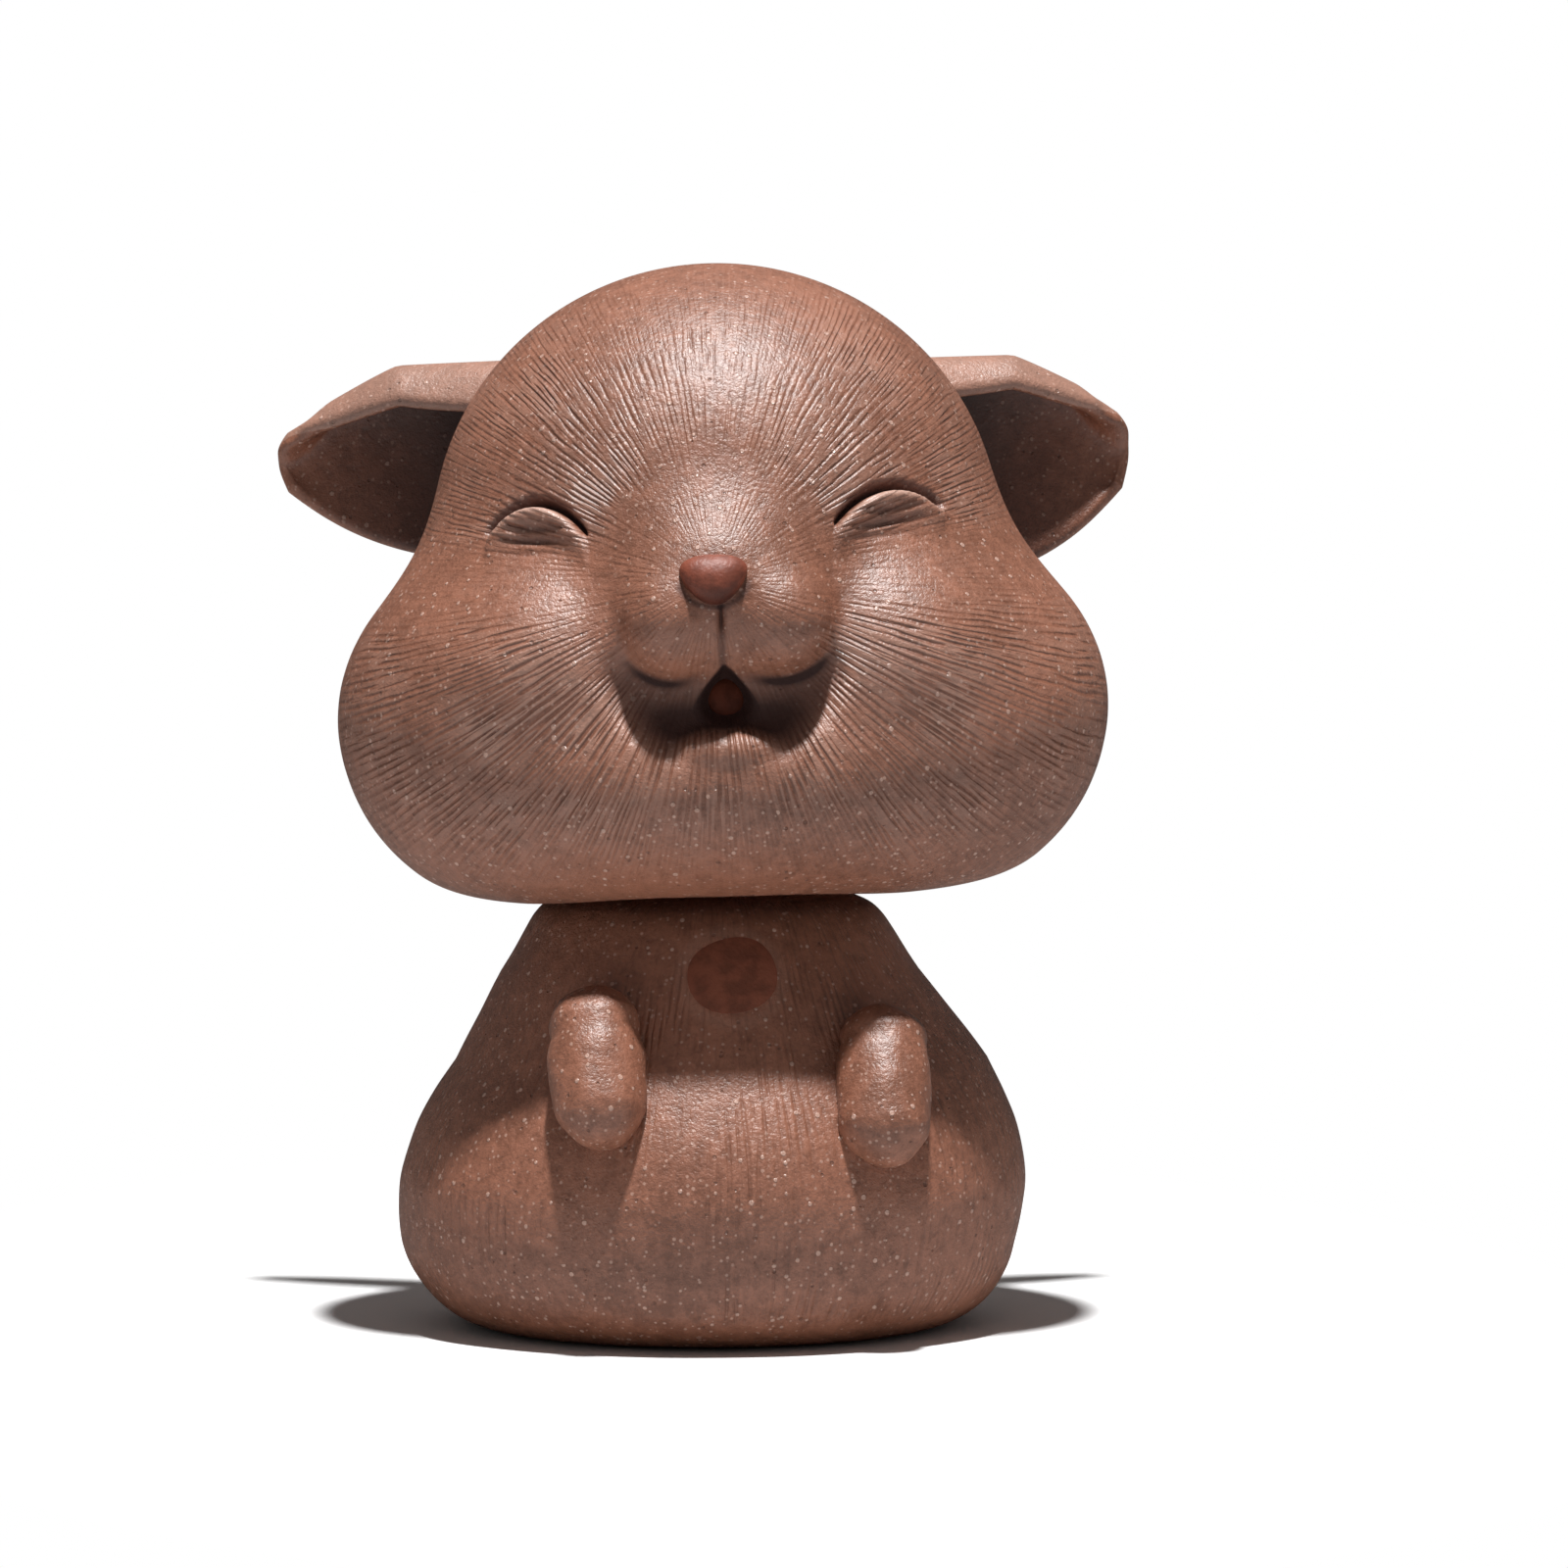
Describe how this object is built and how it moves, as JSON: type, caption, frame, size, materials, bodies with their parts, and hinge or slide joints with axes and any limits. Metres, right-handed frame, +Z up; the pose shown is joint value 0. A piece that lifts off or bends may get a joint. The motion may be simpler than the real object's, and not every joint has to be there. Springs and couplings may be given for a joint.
{
  "type": "clay tea pet",
  "caption": "Unglazed clay animal ornament with a sprung, shaking head, folded ears and raised arms on a flat-bottomed hollow body.",
  "frame": {"origin": "centre of the flat base, on the table", "axes": "+Z up; the body's front, with the chest disc and arms, faces -Y; +X is the body's left-hand side as the viewer sees the right of the picture"},
  "size_m": [0.0733, 0.0506, 0.0894],
  "materials": {
    "body_clay": "unglazed brown stoneware with fine pale sand, scored with upright strokes",
    "head_clay": "unglazed brown stoneware with fine pale sand, scored with strokes that fan out from the face",
    "red_clay": "unglazed red stoneware, burnished",
    "inner_clay": "plain unglazed brown stoneware",
    "spring_steel": "bright drawn wire"
  },
  "bodies": {
    "base": {"body_shell": "body_clay", "chest_disc": "red_clay", "arm_left": "body_clay", "arm_right": "body_clay"},
    "neck_plug": {"neck_seat": "inner_clay"},
    "spring": {"neck_spring": "spring_steel"},
    "head": {"head_shell": "head_clay", "head_floor": "inner_clay", "head_seat": "inner_clay", "ear_left": "head_clay", "ear_right": "head_clay", "nose": "red_clay", "tongue": "red_clay"}
  },
  "joints": [
    {"name": "head_twist", "type": "hinge", "parent": "base", "child": "neck_plug", "pos_m": [0, 0, 0.0462], "axis": [0, 0, 1], "range_deg": [-15, 15], "stiffness_Nm_per_rad": 0.08},
    {"name": "head_nod", "type": "hinge", "parent": "neck_plug", "child": "spring", "pos_m": [0, 0, 0.0462], "axis": [0.9971, -0.0767, 0], "range_deg": [-5, 5], "stiffness_Nm_per_rad": 0.07, "springref_deg": 0.62},
    {"name": "head_rock", "type": "hinge", "parent": "spring", "child": "head", "pos_m": [0, 0, 0.0462], "axis": [0.0767, 0.9971, 0], "range_deg": [-3, 7], "stiffness_Nm_per_rad": 0.07, "springref_deg": -0.26, "deforming": ["neck_spring"]}
  ]
}
